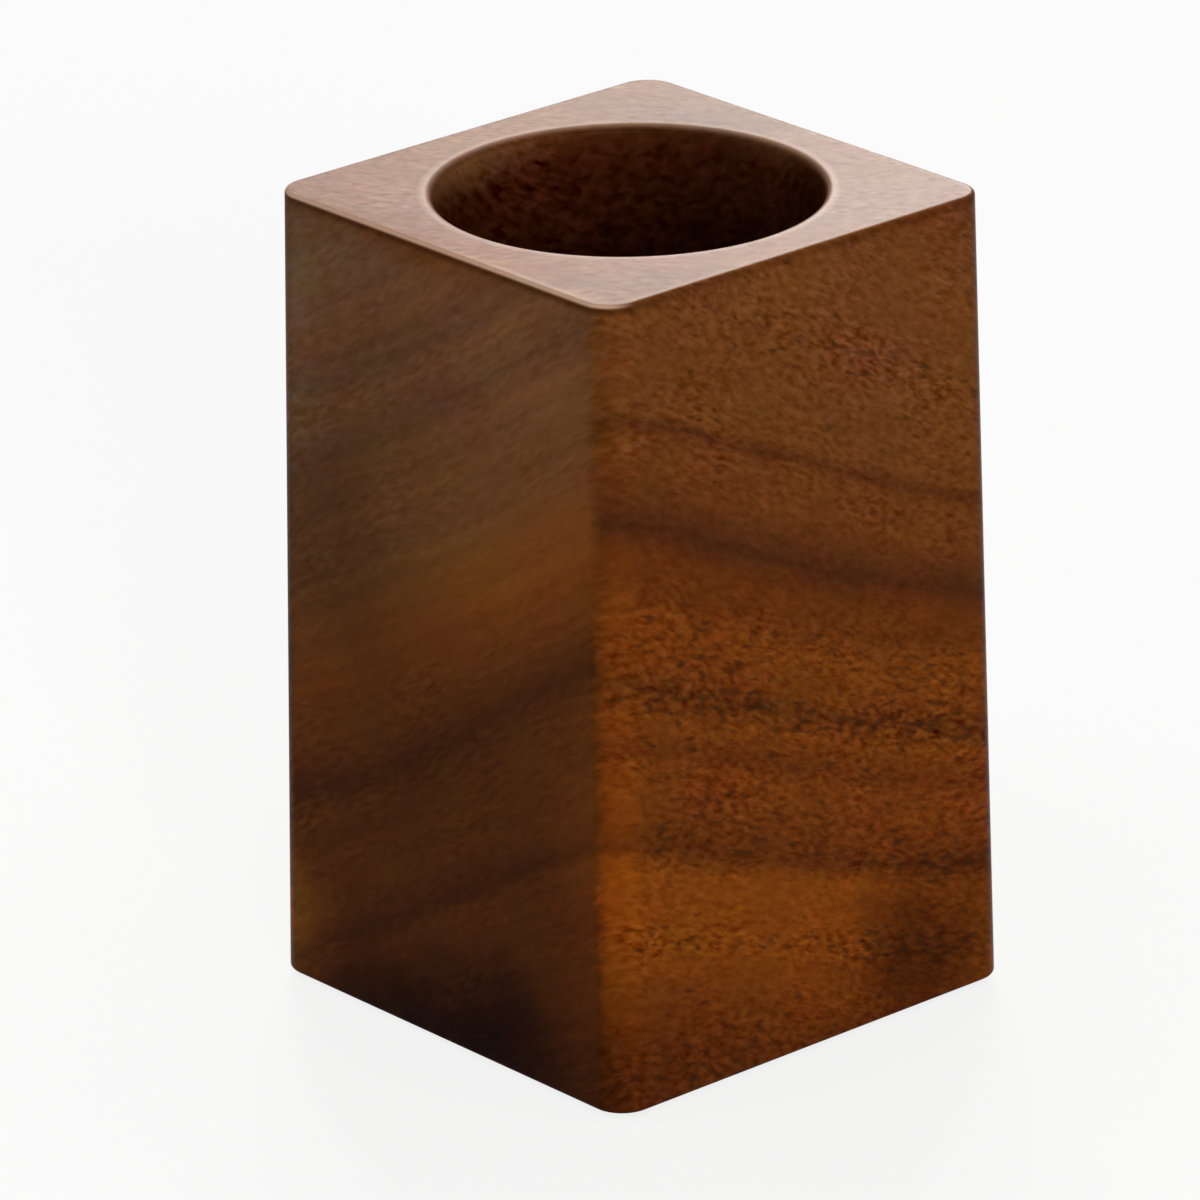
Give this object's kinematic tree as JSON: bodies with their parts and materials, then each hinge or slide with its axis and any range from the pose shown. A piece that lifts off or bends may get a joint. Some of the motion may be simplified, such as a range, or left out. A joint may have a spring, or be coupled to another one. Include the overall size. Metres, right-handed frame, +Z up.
{
  "type": "pen cup",
  "caption": "Square hardwood pen cup, slightly wider at the base, with rounded upright edges, a round bore, a glued-in floor disc and recessed rubber feet.",
  "frame": {"origin": "centre of the square footprint, on the surface that the feet stand on", "axes": "+Z up along the bore; +X along the wood's fibres, square to the side that shows end grain; -Y is the other side seen in the picture"},
  "size_m": [0.0688, 0.0688, 0.11],
  "materials": {
    "cup_block": "satin lacquer",
    "floor_disc": "satin lacquer",
    "feet": "matt"
  },
  "bodies": {
    "root": {"cup_block": "cup_block", "floor_disc": "floor_disc", "foot_front_left": "feet", "foot_front_right": "feet", "foot_rear_left": "feet", "foot_rear_right": "feet"}
  },
  "joints": []
}
